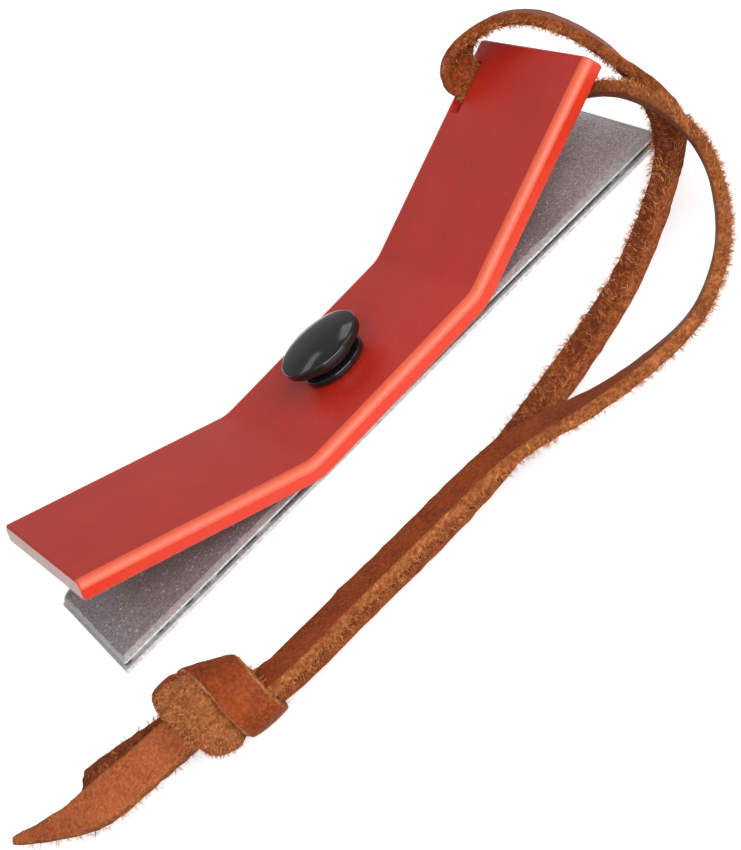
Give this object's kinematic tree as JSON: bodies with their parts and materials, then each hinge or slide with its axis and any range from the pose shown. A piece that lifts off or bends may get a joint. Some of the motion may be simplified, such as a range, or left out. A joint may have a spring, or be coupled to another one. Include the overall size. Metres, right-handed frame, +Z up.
{
  "type": "edge tuning tool",
  "caption": "Pocket ski edge tuning tool: bent plastic holder strip with raised wings over a flat two-sided abrasive file, clamped and turned on a knob screw, with a leather lanyard.",
  "frame": {"origin": "bottom centre of the rigid pieces, on the plane of the file's lower face", "axes": "+X along the tool towards the lanyard end, +Y to the back, +Z up from the file to the knob"},
  "size_m": [0.1308, 0.0799, 0.0222],
  "materials": {
    "red_plastic": "moulded red plastic, satin top and glossier rounded edges",
    "abrasive_plate": "grey abrasive grit plated on steel sheet, bare along the rim",
    "file_core": "dark bonded core",
    "steel": "plain steel screw",
    "black_plastic": "glossy black moulding",
    "brass": "plain brass insert",
    "leather": "brown leather lace, smooth grain side and fibrous flesh side"
  },
  "bodies": {
    "holder": {"holder_strip": "red_plastic", "pressure_washer": "black_plastic", "lanyard_loop": "leather", "lanyard_knot": "leather", "lanyard_tail_long": "leather", "lanyard_tail_short": "leather"},
    "knob": {"knob": "black_plastic", "knob_insert": "brass"},
    "screw": {"clamp_screw": "steel"},
    "file": {"upper_abrasive_plate": "abrasive_plate", "file_core": "file_core", "lower_abrasive_plate": "abrasive_plate"}
  },
  "joints": [
    {"name": "file_swivel", "type": "hinge", "parent": "file", "child": "screw", "pos_m": [-0.00172, -0.00194, 0.0012], "axis": [0, 0, 1], "continuous": true},
    {"name": "holder_lift", "type": "slide", "parent": "screw", "child": "holder", "axis": [0, 0, 1], "range_m": [0, 0.00245]},
    {"name": "knob_turn", "type": "hinge", "parent": "holder", "child": "knob", "pos_m": [-0.00172, -0.00194, 0.0074], "axis": [0, 0, 1], "range_deg": [0, 1260]}
  ],
  "couplings": [
    {"joint": "knob_turn", "follows": "holder_lift", "rad_per_m": 8976}
  ]
}
